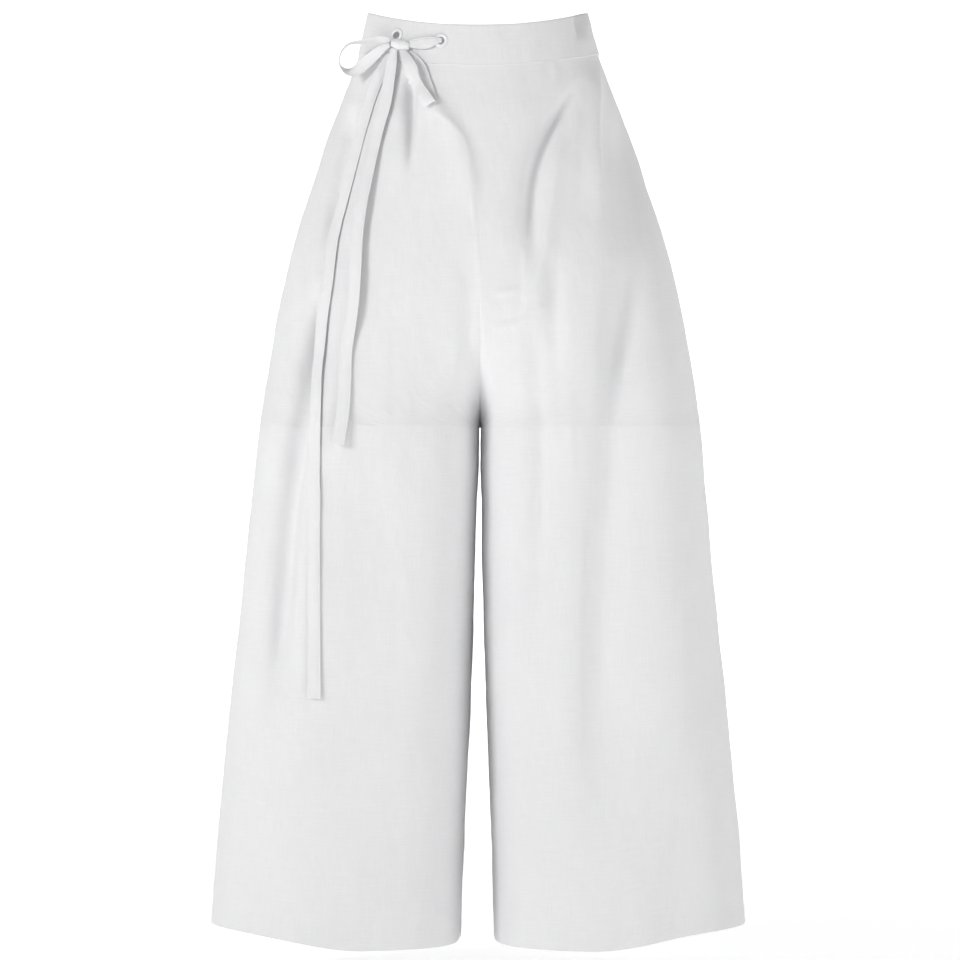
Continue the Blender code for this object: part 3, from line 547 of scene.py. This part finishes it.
def leg_panel(name, leg, face, columns, material):
    drop, along = np.meshgrid(panel_drops(), np.linspace(0, 1, columns + 1), indexing="ij")
    outer = dressed(leg, face, along, drop)
    normal = surface_normal(cloth, leg, face, along, drop)
    crotch_row = RISE_ROWS + CLOSE_ROWS
    seam = np.gradient(outer[: crotch_row + 1, 0], axis=0)
    normal[: crotch_row + 1, 0] = np.stack([0 * seam[:, 0], -seam[:, 2], seam[:, 1]], axis=-1) * face
    normal[crotch_row, 0] = (0, 0, -1)
    normal = unit(normal)
    inner = outer - CLOTH * normal
    steps = np.linalg.norm(np.diff(outer, axis=1), axis=-1)
    run = np.concatenate([np.zeros((len(outer), 1)), np.cumsum(steps, axis=1)], axis=1)
    uv = np.stack([run * leg + 0.6 * face, -drop], axis=-1)
    piece = shell(name, outer, inner, uv, material)
    area = float(np.sum(np.linalg.norm(np.cross(outer[1:, :-1] - outer[:-1, :-1], outer[:-1, 1:] - outer[:-1, :-1]), axis=-1)))
    print(f"{name}: area {area:.4f}, widest {run[:, -1].max():.4f}, narrowest {run[:, -1].min():.4f}")
    return piece


def band_place(leg, face, along, drop):
    """The waistband's middle surface with its folded corner, and its outward normals."""
    point = cloth(leg, face, along, drop)
    outward = seamed_normal(leg, face, along, drop)
    away = point[..., 0] - CORNER_FOLD["x"]
    width = np.where(away < 0, CORNER_FOLD["right_width"], CORNER_FOLD["left_width"])
    reach = (1 - ease(drop, 0, CORNER_FOLD["reach"])) * ease(1 - along, 0, CORNER_FOLD["seam_fade"])
    corner = CORNER_FOLD["depth"] * reach * np.exp(-((away / width) ** 2)) * (leg == LEFT) * (face == FRONT)
    x = point[..., 0] + 3
    uneven = 0.0005 * lumps(x, drop, 0.024, 0.030, 61 + face) + 0.0002 * lumps(x, drop, 0.007, 0.012, 64 + face)
    return point + outward * (corner + uneven)[..., None], outward


def band_profile():
    """The waistband's section as drop and lift: outer face, turned top, inner face and lower edge."""
    middle, half = (BAND_OUT + BAND_IN) / 2, (BAND_OUT - BAND_IN) / 2
    low = BAND_HEIGHT + 0.0004
    face_drops = np.linspace(low - 0.0005, half, 22)
    stitched = 0.00022 * np.exp(-(((face_drops - (low - 0.0030)) / 0.0007) ** 2))
    outer = np.stack([face_drops, BAND_OUT - stitched], axis=-1)
    turn = np.linspace(0, math.pi, 7)[1:-1]
    top = np.stack([half * (1 - np.sin(turn)), middle + half * np.cos(turn)], axis=-1)
    inner = np.stack([np.linspace(half, low - 0.0005, 10), np.full(10, BAND_IN)], axis=-1)
    under = np.array([(low, BAND_IN + 0.0005), (low, BAND_OUT - 0.0006)])
    return np.concatenate([outer, top, inner, under])


def waistband(name, material):
    """The whole waistband, one ring round the waist."""
    profile = band_profile()
    drops, lifts = profile[:, 0], profile[:, 1]
    share = np.linspace(0, 1, BAND_STEPS + 1)
    rings = []
    for leg, face, order in ((LEFT, BACK, -1), (RIGHT, BACK, 1), (RIGHT, FRONT, -1), (LEFT, FRONT, 1)):
        along = share[::order][:-1]
        drop, along = np.meshgrid(drops, along, indexing="ij")
        point, outward = band_place(leg, face, along, drop)
        rings.append(np.swapaxes(point + outward * lifts[:, None, None], 0, 1))
    rings = np.concatenate(rings)
    run = np.cumsum(np.linalg.norm(rings - np.roll(rings, 1, axis=0), axis=-1)[:, 0])
    run_round = np.cumsum(np.linalg.norm(np.diff(profile, axis=0, prepend=profile[:1]), axis=-1))
    u, v = np.meshgrid(run, run_round, indexing="ij")
    return tube(name, rings, np.stack([u, v], axis=-1), material, closed=True)


def punch_holes(band):
    """Cut the two eyelet holes through the waistband."""
    for name, (x, drop) in EYELETS.items():
        point, outward = front_place(np.array([x]), np.array([drop]))
        bm = bmesh.new()
        radius = EYELET_HOLE + 0.0009
        bmesh.ops.create_cone(bm, cap_ends=True, segments=32, depth=0.02, radius1=radius, radius2=radius)
        mesh = bpy.data.meshes.new(name + "_hole")
        bm.to_mesh(mesh)
        bm.free()
        cutter = bpy.data.objects.new(name + "_hole", mesh)
        cutter.location = Vector(point[0])
        cutter.rotation_euler = Vector(outward[0]).to_track_quat("Z", "Y").to_euler()
        bpy.context.collection.objects.link(cutter)
        cut = band.modifiers.new(name + "_hole", "BOOLEAN")
        cut.object = cutter
        cut.operation = "DIFFERENCE"
        cut.solver = "EXACT"
        bpy.context.view_layer.update()
        made = bpy.data.meshes.new_from_object(band.evaluated_get(bpy.context.evaluated_depsgraph_get()))
        band.modifiers.clear()
        band.data = made
        bpy.data.objects.remove(cutter)


def tape_path(table, names, count):
    steps = np.arange(len(table))
    at = np.linspace(0, len(table) - 1, count)
    return {name: smooth(at, steps, column(table, names, name)) for name in names}


def tape_mesh(name, edges, material, seed):
    """A flat stitched tape through its edges and middle, of shape (3, points, 3)."""
    along = unit(np.gradient(edges[1], axis=0))
    up = unit(np.cross(edges[2] - edges[0], along))
    run = np.concatenate([[0], np.cumsum(np.linalg.norm(np.diff(edges[1], axis=0), axis=-1))])
    across = np.array(TAPE_ACROSS)
    press = np.array(TAPE_PRESS)
    t = across[None, :, None]
    low, middle, high = (e[:, None, :] for e in edges)
    spine = middle * (1 - t**2) + low * (t**2 - t) / 2 + high * (t**2 + t) / 2
    bend = 0.00035 * lumps(run[:, None] + 1 + 0 * t[..., 0], across[None, :] * 0.0068 + 1, 0.011, 0.006, seed)
    wave = 0.0005 * lumps(run[:, None] + 1 + 0 * t[..., 0], 0 * across[None, :] + 0.5, 0.030, 1.0, seed + 1)
    spine = spine + up[:, None, :] * (bend + wave)[..., None] * ease(run, 0, 0.02)[:, None, None]
    half = (TAPE_CLOTH / 2 * (1 - press))[None, :, None] * up[:, None, :]
    rings = np.concatenate([spine + half, (spine - half)[:, ::-1]], axis=1)
    side = np.concatenate([across, across[::-1]]) * TIE_WIDTH / 2
    u, v = np.meshgrid(run, side, indexing="ij")
    piece = tube(name, rings, np.stack([v + 0.1 * seed, u], axis=-1), material)
    return piece, spine[:, len(across) // 2], spine, up


def laid_edges(table, count, across=None):
    run = tape_path(table, TAPE_COLUMNS, count)
    if across is None:
        ahead = unit(np.stack([np.gradient(run["x"]), np.gradient(run["drop"])], axis=-1))
        sideways = np.stack([ahead[:, 1], -ahead[:, 0]], axis=-1)
    else:
        sideways = np.broadcast_to(across, (count, 2))
    half = TIE_WIDTH / 2 * run["share"]
    twist = np.radians(run["twist"])
    slant = (1 + np.abs(front_place(run["x"], run["drop"])[1][:, 1])) / 2
    edges = []
    for side in (-1, 0, 1):
        flat = side * half * np.cos(twist)
        x, drop = run["x"] + flat * slant * sideways[:, 0], run["drop"] + flat * sideways[:, 1]
        edges.append(front_lifted(x, drop, run["lift"] + side * half * np.sin(twist)))
    return np.array(edges)


def side_loop_edges(count):
    run = tape_path(TIE_LOOP_SIDE, LOOP_COLUMNS, count)
    middle = np.stack([run["x"], run["y"], run["z"]], axis=-1)
    ahead = unit(np.gradient(middle, axis=0))
    deep = unit(np.array([0, 1, 0]) - ahead * ahead[:, 1:2])
    tilt = np.radians(run["tilt"])[:, None]
    across = deep * np.cos(tilt) + np.cross(ahead, deep) * np.sin(tilt)
    half = across * (TIE_WIDTH / 2 * run["share"])[:, None]
    return np.array([middle - half, middle, middle + half])


def knot(name, material):
    """The knot: a short body with the tape's folds wrapped round it."""
    count, steps = 40, 56
    s, angle = np.meshgrid(np.linspace(0, 1, count), np.arange(steps) * 2 * math.pi / steps, indexing="ij")
    swell = 0.60 + 0.42 * np.clip(np.sin(math.pi * s), 0, 1) ** 0.55
    wrap = 0.05 * np.cos(2 * math.pi * (s * 2.2 + 0.2))
    size = swell + 0.07 * np.abs(np.sin(angle * 2.5 + 2.0 * s)) ** 0.6 + wrap - 0.05
    x = KNOT["right"] + (KNOT["left"] - KNOT["right"]) * s
    drop = KNOT["drop"] + KNOT["half_height"] * size * np.cos(angle) + 0.0012 * (s - 0.5)
    rings = front_lifted(x, drop, KNOT["lift"] + KNOT["half_depth"] * size * np.sin(angle))
    u, v = s * 0.02, angle * 0.005
    return tube(name, rings, np.stack([v, u], axis=-1), material)


def eyelet(name, material, place):
    """A rolled metal eyelet over both faces of the band."""
    x, drop = EYELETS[place]
    (centre,), (axis,) = front_place(np.array([x]), np.array([drop]))
    level = unit(np.cross(axis, (0, 0, 1)))
    upright = np.cross(level, axis)
    front = BAND_OUT + 0.0001
    behind = BAND_IN - 0.0001
    roll = np.linspace(0, math.pi, 13)
    flange = (EYELET_RADIUS - EYELET_HOLE) / 2
    middle = (EYELET_RADIUS + EYELET_HOLE) / 2
    top = [(middle + flange * math.cos(a), front + 0.0009 * math.sin(a) ** 0.8) for a in roll]
    profile = top + [
        (EYELET_HOLE, 0.0),
        (EYELET_HOLE, behind - 0.0004),
        (EYELET_HOLE + 0.0006, behind - 0.0007),
        (EYELET_HOLE + 0.0026, behind - 0.0005),
        (EYELET_HOLE + 0.0028, behind),
        (EYELET_HOLE + 0.0007, behind + 0.0001),
        (EYELET_HOLE + 0.0007, front - 0.0001),
    ]
    radius, lift = np.array(profile).T[:, None, :, None]
    angle = (np.arange(EYELET_STEPS) * 2 * math.pi / EYELET_STEPS)[:, None, None]
    point, outward = front_behind(centre + radius * (level * np.cos(angle) + upright * np.sin(angle)))
    rings = point + outward * lift
    return tube(name, rings, rings[..., [0, 2]], material, closed=True)


def stitches(name, line, outward, material, pitch=0.0030, share=0.72, radius=0.00022):
    """A row of thread stitches along a line of points, half sunk in the cloth."""
    run = np.concatenate([[0], np.cumsum(np.linalg.norm(np.diff(line, axis=0), axis=-1))])
    starts = np.arange(0.001, run[-1] - pitch, pitch)
    rings = []
    for part in (0.0, 0.12, 0.5, 0.88, 1.0):
        at = starts + part * pitch * share
        point = np.stack([np.interp(at, run, line[:, k]) for k in range(3)], axis=-1)
        up = unit(np.stack([np.interp(at, run, outward[:, k]) for k in range(3)], axis=-1))
        ahead = unit(np.stack([np.interp(at + 1e-4, run, line[:, k]) for k in range(3)], axis=-1) - point)
        side = np.cross(up, ahead)
        thick = radius * (0.35 if part in (0.0, 1.0) else 1.0)
        rise = up * radius * (-0.4 if part in (0.0, 1.0) else 0.55)
        ring = [point + rise + thick * (up * math.sin(a) + side * math.cos(a)) for a in np.arange(6) * math.pi / 3]
        rings.append(np.stack(ring, axis=1))
    rings = np.stack(rings, axis=1)
    count, parts, sides = rings.shape[:3]
    one = np.concatenate([grid_faces(parts, sides, 0, False, True), [(0, 1, 2, 3), (0, 3, 4, 5)],
                          np.array([(0, 1, 2, 3), (0, 3, 4, 5)]) + (parts - 1) * sides])
    faces = (one[None] + (np.arange(count) * parts * sides)[:, None, None]).reshape(-1, 4)
    return make_mesh(name, rings.reshape(-1, 3), faces, material)


def link_bump(nodes, links, height, strength, distance, normal=None):
    bump = nodes.new("ShaderNodeBump")
    bump.inputs["Strength"].default_value = strength
    bump.inputs["Distance"].default_value = distance
    links.new(height, bump.inputs["Height"])
    if normal is not None:
        links.new(normal, bump.inputs["Normal"])
    return bump.outputs["Normal"]


def math_node(nodes, links, operation, a, b=None):
    node = nodes.new("ShaderNodeMath")
    node.operation = operation
    for socket, value in zip(node.inputs, (a, b)):
        if value is None:
            continue
        if isinstance(value, (int, float)):
            socket.default_value = value
        else:
            links.new(value, socket)
    return node.outputs["Value"]


def cloth_material(name, light, dark, thread, slub, crumple, roughness):
    """White plain weave: threads both ways, slubs, soft crumples and slight differences in tone."""
    material = bpy.data.materials.new(name)
    material.use_nodes = True
    nodes, links = material.node_tree.nodes, material.node_tree.links
    shader = nodes["Principled BSDF"]
    shader.inputs["Sheen Weight"].default_value = 0.18
    shader.inputs["Sheen Roughness"].default_value = 0.55
    shader.inputs["Specular IOR Level"].default_value = 0.18
    place = nodes.new("ShaderNodeUVMap")
    place.uv_map = "cloth"
    split = nodes.new("ShaderNodeSeparateXYZ")
    links.new(place.outputs["UV"], split.inputs["Vector"])

    def threads(across, along, width):
        """One set of threads, round on top, that pass over and under the other set."""
        turn = math_node(nodes, links, "MULTIPLY", across, 2 * math.pi / width)
        wave = math_node(nodes, links, "SINE", turn)
        other = math_node(nodes, links, "MULTIPLY", along, math.pi / width)
        over = math_node(nodes, links, "SINE", math_node(nodes, links, "ADD", other, math_node(nodes, links, "MULTIPLY", turn, 0.5)))
        return math_node(nodes, links, "MULTIPLY", math_node(nodes, links, "ADD", wave, 1.0), math_node(nodes, links, "ADD", over, 1.4))

    warp = threads(split.outputs["X"], split.outputs["Y"], thread)
    weft = threads(split.outputs["Y"], split.outputs["X"], thread * 1.08)
    weave = math_node(nodes, links, "ADD", warp, weft)

    def noise(scale_x, scale_y, detail, rough=0.5):
        mapping = nodes.new("ShaderNodeMapping")
        mapping.inputs["Scale"].default_value = (scale_x, scale_y, 1)
        links.new(place.outputs["UV"], mapping.inputs["Vector"])
        texture = nodes.new("ShaderNodeTexNoise")
        texture.inputs["Scale"].default_value = 1.0
        texture.inputs["Detail"].default_value = detail
        texture.inputs["Roughness"].default_value = rough
        links.new(mapping.outputs["Vector"], texture.inputs["Vector"])
        return texture.outputs["Fac"]

    slubs_down = noise(1 / (thread * 1.6), 38, 2)
    slubs_across = noise(34, 1 / (thread * 1.6), 2)
    soft = noise(crumple, crumple * 0.55, 5, 0.55)
    cloudy = noise(14, 9, 3)
    slub_height = math_node(nodes, links, "ADD", slubs_down, slubs_across)
    tone = nodes.new("ShaderNodeMapRange")
    tone.inputs["From Min"].default_value = 0.75
    tone.inputs["From Max"].default_value = 1.30
    links.new(slub_height, tone.inputs["Value"])
    blend = math_node(nodes, links, "ADD", math_node(nodes, links, "MULTIPLY", tone.outputs["Result"], 0.45),
                      math_node(nodes, links, "MULTIPLY", cloudy, 0.55))
    ramp = nodes.new("ShaderNodeValToRGB")
    ramp.color_ramp.elements[0].position = 0.18
    ramp.color_ramp.elements[1].position = 0.82
    ramp.color_ramp.elements[0].color = (*dark, 1)
    ramp.color_ramp.elements[1].color = (*light, 1)
    links.new(blend, ramp.inputs["Fac"])
    links.new(ramp.outputs["Color"], shader.inputs["Base Color"])
    rough = nodes.new("ShaderNodeMapRange")
    rough.inputs["To Min"].default_value = roughness - 0.07
    rough.inputs["To Max"].default_value = roughness + 0.07
    links.new(blend, rough.inputs["Value"])
    links.new(rough.outputs["Result"], shader.inputs["Roughness"])
    normal = link_bump(nodes, links, soft, 0.55, 0.0016)
    normal = link_bump(nodes, links, slub_height, slub, 0.00025, normal)
    normal = link_bump(nodes, links, weave, 0.45, 0.00006, normal)
    links.new(normal, shader.inputs["Normal"])
    return material


def painted_metal(name):
    """White enamel over metal, a little worn on the rolled edge."""
    material = bpy.data.materials.new(name)
    material.use_nodes = True
    nodes, links = material.node_tree.nodes, material.node_tree.links
    shader = nodes["Principled BSDF"]
    texture = nodes.new("ShaderNodeTexNoise")
    texture.inputs["Scale"].default_value = 900
    texture.inputs["Detail"].default_value = 4
    place = nodes.new("ShaderNodeTexCoord")
    links.new(place.outputs["Object"], texture.inputs["Vector"])
    ramp = nodes.new("ShaderNodeValToRGB")
    ramp.color_ramp.elements[0].position = 0.28
    ramp.color_ramp.elements[1].position = 0.55
    ramp.color_ramp.elements[0].color = (0.70, 0.70, 0.71, 1)
    ramp.color_ramp.elements[1].color = (0.84, 0.84, 0.85, 1)
    links.new(texture.outputs["Fac"], ramp.inputs["Fac"])
    links.new(ramp.outputs["Color"], shader.inputs["Base Color"])
    rough = nodes.new("ShaderNodeMapRange")
    rough.inputs["To Min"].default_value = 0.25
    rough.inputs["To Max"].default_value = 0.42
    links.new(texture.outputs["Fac"], rough.inputs["Value"])
    links.new(rough.outputs["Result"], shader.inputs["Roughness"])
    shader.inputs["Coat Weight"].default_value = 0.25
    links.new(link_bump(nodes, links, texture.outputs["Fac"], 0.15, 0.0001), shader.inputs["Normal"])
    return material


def add_camera():
    data = bpy.data.cameras.new("camera")
    data.lens = 138.1
    data.sensor_width = 36
    data.clip_end = 50
    camera = bpy.data.objects.new("camera", data)
    camera.location = (0, -4.0, -0.507)
    camera.rotation_euler = (math.radians(90), 0, 0)
    bpy.context.collection.objects.link(camera)
    bpy.context.scene.camera = camera


def add_light(name, place, aim, size, power):
    data = bpy.data.lights.new(name, "AREA")
    data.shape = "DISK"
    data.size = size
    data.energy = power
    light = bpy.data.objects.new(name, data)
    light.location = place
    light.rotation_euler = (Vector(aim) - Vector(place)).to_track_quat("-Z", "Y").to_euler()
    bpy.context.collection.objects.link(light)


def add_stage():
    """A pale floor that curves up into a pale wall behind. It also glows with painted light, stronger further from
    the middle, so it stays white.
    """
    profile = [(-6.0, 0.0), (4.8, 0.0)]
    profile += [(4.8 + 1.2 * math.sin(a), 1.2 * (1 - math.cos(a))) for a in np.linspace(0, math.pi / 2, 13)[1:]]
    profile += [(6.0, 5.0)]
    floor = -1.05
    rings = np.array([[(x, y, floor + z) for x in (-6.0, 6.0)] for y, z in profile])
    material = bpy.data.materials.new("stage")
    material.use_nodes = True
    nodes, links = material.node_tree.nodes, material.node_tree.links
    shader = nodes["Principled BSDF"]
    texture = nodes.new("ShaderNodeTexNoise")
    texture.inputs["Scale"].default_value = 3
    ramp = nodes.new("ShaderNodeValToRGB")
    ramp.color_ramp.elements[0].color = (0.90, 0.90, 0.90, 1)
    ramp.color_ramp.elements[1].color = (0.93, 0.93, 0.93, 1)
    links.new(texture.outputs["Fac"], ramp.inputs["Fac"])
    links.new(ramp.outputs["Color"], shader.inputs["Base Color"])
    shader.inputs["Roughness"].default_value = 0.9
    # Painted light: the stage glows white, from 0.45 near the middle up to 0.85 far away.
    shader.inputs["Emission Color"].default_value = (1, 1, 1, 1)
    place = nodes.new("ShaderNodeTexCoord")
    away = nodes.new("ShaderNodeVectorMath")
    away.operation = "LENGTH"
    links.new(place.outputs["Object"], away.inputs[0])
    painted_glow = nodes.new("ShaderNodeMapRange")
    for socket, value in (("From Min", 1.0), ("From Max", 3.5), ("To Min", 0.45), ("To Max", 0.85)):
        painted_glow.inputs[socket].default_value = value
    links.new(away.outputs["Value"], painted_glow.inputs["Value"])
    links.new(painted_glow.outputs["Result"], shader.inputs["Emission Strength"])
    stage = make_mesh("stage", rings.reshape(-1, 3), grid_faces(len(rings), 2), material)


def add_world():
    world = bpy.data.worlds.new("studio")
    world.use_nodes = True
    background = world.node_tree.nodes["Background"]
    background.inputs["Color"].default_value = (1, 1, 1, 1)
    background.inputs["Strength"].default_value = 0.30
    bpy.context.scene.world = world


def finish_piece(piece, slot, *nodes):
    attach(piece, "root")
    if nodes:
        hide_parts(*nodes)


def tape_stitches(name, spine, up, material, side):
    """Edge stitching down one side of a tape's upper face."""
    place = TAPE_ACROSS.index(side)
    line = spine[:, place] + up * (TAPE_CLOTH / 2 - 0.00025)
    piece = stitches(name, line, up, material, pitch=0.0026, radius=0.00018)
    finish_piece(piece, "tape")
    return piece


def add_ties(tape, thread):
    parts = {}
    for name, table, rings, seed in (
        ("tie_tail_short", TIE_TAIL_SHORT, 190, 5),
        ("tie_tail_long", TIE_TAIL_LONG, 290, 7),
    ):
        parts[name] = tape_mesh(name + "_tape", laid_edges(table, rings), tape, seed)
    loop_front = laid_edges(TIE_LOOP_FRONT, 90, LOOP_FRONT_ACROSS)
    parts["tie_loop_front"] = tape_mesh("tie_loop_front_tape", loop_front, tape, 9)
    parts["tie_lead"] = tape_mesh("tie_lead_tape", laid_edges(TIE_LEAD, 40, LEAD_ACROSS), tape, 11)
    parts["tie_loop_side"] = tape_mesh("tie_loop_side_tape", side_loop_edges(90), tape, 13)
    knot_piece = knot("tie_knot_tape", tape)
    finish_piece(knot_piece, "tape")
    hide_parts("tie_knot")
    for name, (piece, line, spine, up) in parts.items():
        finish_piece(piece, "tape")
        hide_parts(name)
        tape_stitches(name + "_stitches", spine, up, thread, 0.765)


def main():
    add_camera()
    cotton = cloth_material("cotton", (0.86, 0.86, 0.865), (0.80, 0.80, 0.81), 0.00055, 0.30, 46, 0.82)
    tape = cloth_material("tape", (0.87, 0.87, 0.875), (0.82, 0.82, 0.83), 0.00045, 0.22, 90, 0.78)
    thread = cloth_material("thread", (0.88, 0.88, 0.885), (0.84, 0.84, 0.85), 0.00020, 0.20, 200, 0.60)
    add_ties(tape, thread)
    for name, leg, face, columns in (
        ("front_right", RIGHT, FRONT, FRONT_COLUMNS),
        ("front_left", LEFT, FRONT, FRONT_COLUMNS),
        ("back_right", RIGHT, BACK, BACK_COLUMNS),
        ("back_left", LEFT, BACK, BACK_COLUMNS),
    ):
        piece = leg_panel(name + "_cloth", leg, face, columns, cotton)
        finish_piece(piece, "cloth", name)
    band = waistband("waistband_cloth", cotton)
    punch_holes(band)
    finish_piece(band, "cloth", "waistband_front", "waistband_back")
    enamel = painted_metal("enamel")
    for name in EYELETS:
        finish_piece(eyelet(name + "_metal", enamel, name), "eyelet", name)
    add_stage()
    add_world()
    add_light("left_box", (-2.4, -2.0, 0.6), (0, 0, -0.5), 1.2, 44)
    add_light("right_box", (2.6, -1.6, 0.3), (0, 0, -0.5), 1.6, 22)
    bpy.context.scene.view_settings.view_transform = "Standard"


main()
